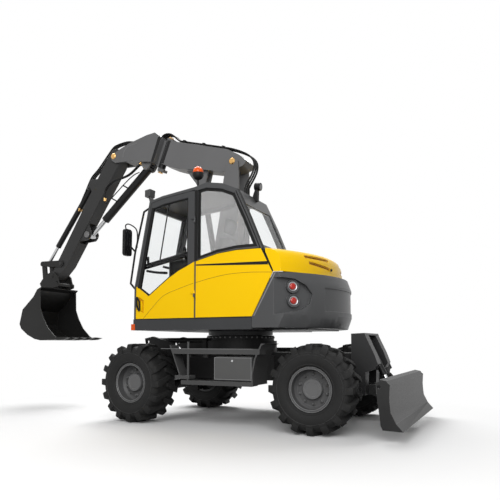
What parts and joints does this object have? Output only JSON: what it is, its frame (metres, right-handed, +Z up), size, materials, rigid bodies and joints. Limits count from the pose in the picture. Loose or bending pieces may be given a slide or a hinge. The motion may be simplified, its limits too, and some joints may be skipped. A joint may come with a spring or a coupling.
{
  "type": "wheeled excavator",
  "caption": "Wheeled excavator with a hollow glazed cab, a folding arm with an offset hinge, a toothed bucket and a rear dozer blade.",
  "frame": {"origin": "on the ground under the middle of the machine's length and width", "axes": "+X forward to the bucket, +Y to the cab's side, +Z up"},
  "size_m": [6.806, 2.5576, 4.59],
  "materials": {
    "amber": "gloss",
    "cloth": "woven",
    "glass": "clear",
    "hose": "matt",
    "paint_dark": "satin",
    "paint_grey": "satin",
    "paint_yellow": "gloss",
    "plastic": "matt",
    "steel_bright": "brushed",
    "steel_worn": "rough",
    "tyre": "matt"
  },
  "bodies": {
    "chassis": {"chassis_frame": "paint_dark", "rear_axle": "paint_dark", "front_axle": "paint_dark", "side_step_left": "paint_dark", "side_step_right": "paint_dark", "blade_carrier": "paint_dark"},
    "wheel_rear_left": {"tyre_rear_left": "tyre", "rim_rear_left": "paint_dark"},
    "wheel_rear_right": {"tyre_rear_right": "tyre", "rim_rear_right": "paint_dark"},
    "wheel_front_left": {"tyre_front_left": "tyre", "rim_front_left": "paint_dark"},
    "wheel_front_right": {"tyre_front_right": "tyre", "rim_front_right": "paint_dark"},
    "steered_left": {"knuckle_left": "paint_dark"},
    "steered_right": {"knuckle_right": "paint_dark"},
    "steering_rod": {"steering_rod": "steel_bright"},
    "blade": {"blade": "steel_worn"},
    "blade_ram_barrel": {"blade_ram_barrel": "paint_dark"},
    "blade_ram_rod": {"blade_ram_rod": "steel_bright"},
    "turret": {"deck": "paint_dark", "counterweight": "paint_dark", "engine": "paint_dark", "cab": "paint_grey", "windscreen": "glass", "quarter_glass": "glass", "right_glass": "glass", "rear_glass": "glass", "side_panel": "paint_yellow", "right_body": "paint_yellow", "seat": "cloth", "console": "plastic", "lamp_front": "plastic", "lamp_rear": "plastic", "beacon": "amber", "mirror": "plastic"},
    "door": {"door": "paint_yellow", "door_glass": "glass"},
    "hood": {"hood": "paint_yellow"},
    "lower_boom": {"lower_boom": "paint_grey", "lower_hoses": "hose"},
    "mid_boom_rear": {"mid_boom_rear": "paint_grey", "boom_hoses": "hose"},
    "mid_boom_front": {"mid_boom_front": "paint_grey"},
    "stick": {"stick": "paint_grey"},
    "lever": {"lever": "steel_worn"},
    "bucket_link": {"bucket_link": "steel_worn"},
    "bucket": {"coupler": "steel_worn", "bucket": "steel_worn"},
    "lift_left_ram_barrel": {"lift_left_ram_barrel": "paint_dark"},
    "lift_left_ram_rod": {"lift_left_ram_rod": "steel_bright"},
    "lift_right_ram_barrel": {"lift_right_ram_barrel": "paint_dark"},
    "lift_right_ram_rod": {"lift_right_ram_rod": "steel_bright"},
    "fold_ram_barrel": {"fold_ram_barrel": "paint_dark"},
    "fold_ram_rod": {"fold_ram_rod": "steel_bright"},
    "stick_ram_barrel": {"stick_ram_barrel": "paint_dark"},
    "stick_ram_rod": {"stick_ram_rod": "steel_bright"},
    "bucket_ram_barrel": {"bucket_ram_barrel": "paint_dark"},
    "bucket_ram_rod": {"bucket_ram_rod": "steel_bright"}
  },
  "joints": [
    {"name": "wheel_rear_left_spin", "type": "hinge", "parent": "chassis", "child": "wheel_rear_left", "pos_m": [-2.315, 0.975, 0.5425], "axis": [0, 1, 0], "continuous": true},
    {"name": "steer_left", "type": "hinge", "parent": "chassis", "child": "steered_left", "pos_m": [0.255, 0.645, 0.5425], "axis": [0, 0, 1], "range_deg": [-19, 31]},
    {"name": "wheel_front_left_spin", "type": "hinge", "parent": "steered_left", "child": "wheel_front_left", "pos_m": [0.28949, 0.97319, 0.5425], "axis": [0.1045, 0.9945, 0], "continuous": true},
    {"name": "wheel_rear_right_spin", "type": "hinge", "parent": "chassis", "child": "wheel_rear_right", "pos_m": [-2.315, -0.975, 0.5425], "axis": [0, 1, 0], "continuous": true},
    {"name": "steer_right", "type": "hinge", "parent": "chassis", "child": "steered_right", "pos_m": [0.255, -0.645, 0.5425], "axis": [0, 0, 1], "range_deg": [-19, 31]},
    {"name": "wheel_front_right_spin", "type": "hinge", "parent": "steered_right", "child": "wheel_front_right", "pos_m": [0.22051, -0.97319, 0.5425], "axis": [0.1045, 0.9945, 0], "continuous": true},
    {"name": "steering_rod_slide", "type": "slide", "parent": "chassis", "child": "steering_rod", "axis": [0, 1, 0], "range_m": [-0.115, 0.075]},
    {"name": "blade_lift", "type": "hinge", "parent": "chassis", "child": "blade", "pos_m": [-2.72, 0, 0.5], "axis": [0, 1, 0], "range_deg": [-22, 15]},
    {"name": "blade_ram_swing", "type": "hinge", "parent": "chassis", "child": "blade_ram_barrel", "pos_m": [-2.735, 0, 1.105], "axis": [0, -1, 0], "range_deg": [-4, 5]},
    {"name": "blade_ram_stroke", "type": "slide", "parent": "blade_ram_barrel", "child": "blade_ram_rod", "axis": [-0.4439, 0, -0.8961], "range_m": [-0.0728, 0.1063]},
    {"name": "slew", "type": "hinge", "parent": "chassis", "child": "turret", "pos_m": [-0.825, 0, 1.2], "axis": [0, 0, 1], "continuous": true},
    {"name": "door_swing", "type": "hinge", "parent": "turret", "child": "door", "pos_m": [-0.713, 1.174, 2.2], "axis": [0, 0, 1], "range_deg": [0, 85]},
    {"name": "hood_lift", "type": "hinge", "parent": "turret", "child": "hood", "pos_m": [-1.75, 0, 2.256], "axis": [0, 1, 0], "range_deg": [0, 50]},
    {"name": "boom_lift", "type": "hinge", "parent": "turret", "child": "lower_boom", "pos_m": [-0.595, -0.12, 1.53], "axis": [0, -1, 0], "range_deg": [-45, 5]},
    {"name": "boom_fold", "type": "hinge", "parent": "lower_boom", "child": "mid_boom_rear", "pos_m": [-0.71, -0.12, 3.875], "axis": [0, 1, 0], "range_deg": [-45, 30]},
    {"name": "boom_offset", "type": "hinge", "parent": "mid_boom_rear", "child": "mid_boom_front", "pos_m": [0.735, -0.12, 3.985], "axis": [-0.3633, 0, 0.9317], "range_deg": [-35, 35]},
    {"name": "stick_reach", "type": "hinge", "parent": "mid_boom_front", "child": "stick", "pos_m": [1.615, -0.12, 4.31], "axis": [0, -1, 0], "range_deg": [-30, 50]},
    {"name": "bucket_curl", "type": "hinge", "parent": "stick", "child": "bucket", "pos_m": [2.935, -0.12, 2.29], "axis": [0, -1, 0], "range_deg": [-50, 75]},
    {"name": "lift_left_ram_swing", "type": "hinge", "parent": "turret", "child": "lift_left_ram_barrel", "pos_m": [-0.025, -0.015, 1.49], "axis": [0, -1, 0], "range_deg": [-39, 6]},
    {"name": "lift_left_ram_stroke", "type": "slide", "parent": "lift_left_ram_barrel", "child": "lift_left_ram_rod", "axis": [-0.4397, 0, 0.8981], "range_m": [-0.4257, 0.0482]},
    {"name": "lift_right_ram_swing", "type": "hinge", "parent": "turret", "child": "lift_right_ram_barrel", "pos_m": [-0.025, -0.225, 1.49], "axis": [0, -1, 0], "range_deg": [-39, 6]},
    {"name": "lift_right_ram_stroke", "type": "slide", "parent": "lift_right_ram_barrel", "child": "lift_right_ram_rod", "axis": [-0.4397, 0, 0.8981], "range_m": [-0.4257, 0.0482]},
    {"name": "fold_ram_swing", "type": "hinge", "parent": "lower_boom", "child": "fold_ram_barrel", "pos_m": [-0.395, -0.12, 1.95], "axis": [0, -1, 0], "range_deg": [-2, 2]},
    {"name": "fold_ram_stroke", "type": "slide", "parent": "fold_ram_barrel", "child": "fold_ram_rod", "axis": [0.1804, 0, 0.9836], "range_m": [-0.3375, 0.5058]},
    {"name": "stick_ram_swing", "type": "hinge", "parent": "mid_boom_front", "child": "stick_ram_barrel", "pos_m": [0.975, -0.12, 4.05], "axis": [0, -1, 0], "range_deg": [-24, 40]},
    {"name": "stick_ram_stroke", "type": "slide", "parent": "stick_ram_barrel", "child": "stick_ram_rod", "axis": [0.7507, 0, -0.6606], "range_m": [-0.2838, 0.4723]},
    {"name": "lever_swing", "type": "hinge", "parent": "stick", "child": "lever", "pos_m": [2.775, -0.12, 2.51], "axis": [0, -1, 0], "range_deg": [-32, 47]},
    {"name": "link_swing", "type": "hinge", "parent": "lever", "child": "bucket_link", "pos_m": [3.215, -0.12, 2.53], "axis": [0, -1, 0], "range_deg": [-25, 17]},
    {"name": "bucket_ram_swing", "type": "hinge", "parent": "stick", "child": "bucket_ram_barrel", "pos_m": [2.17599, -0.12, 3.93595], "axis": [0, -1, 0], "range_deg": [-5, 7]},
    {"name": "bucket_ram_stroke", "type": "slide", "parent": "bucket_ram_barrel", "child": "bucket_ram_rod", "axis": [0.5943, 0, -0.8042], "range_m": [-0.3103, 0.2072]}
  ],
  "couplings": [
    {"joint": "steer_right", "follows": "steer_left", "ratio": 1},
    {"joint": "steering_rod_slide", "follows": "steer_left", "m_per_rad": -0.185},
    {"joint": "blade_ram_swing", "follows": "blade_lift", "ratio": -0.14978},
    {"joint": "blade_ram_stroke", "follows": "blade_lift", "m_per_rad": -0.27417},
    {"joint": "lift_left_ram_swing", "follows": "boom_lift", "ratio": 0.82558},
    {"joint": "lift_left_ram_stroke", "follows": "boom_lift", "m_per_rad": 0.54075},
    {"joint": "lift_right_ram_swing", "follows": "boom_lift", "ratio": 0.82558},
    {"joint": "lift_right_ram_stroke", "follows": "boom_lift", "m_per_rad": 0.54075},
    {"joint": "fold_ram_swing", "follows": "boom_fold", "ratio": -0.0125},
    {"joint": "fold_ram_stroke", "follows": "boom_fold", "m_per_rad": -0.64267},
    {"joint": "stick_ram_swing", "follows": "stick_reach", "ratio": 0.76353},
    {"joint": "stick_ram_stroke", "follows": "stick_reach", "m_per_rad": 0.54006},
    {"joint": "lever_swing", "follows": "bucket_curl", "ratio": 0.60667},
    {"joint": "link_swing", "follows": "bucket_curl", "ratio": -0.31042},
    {"joint": "bucket_ram_swing", "follows": "bucket_curl", "ratio": 0.06667},
    {"joint": "bucket_ram_stroke", "follows": "bucket_curl", "m_per_rad": -0.2363}
  ]
}
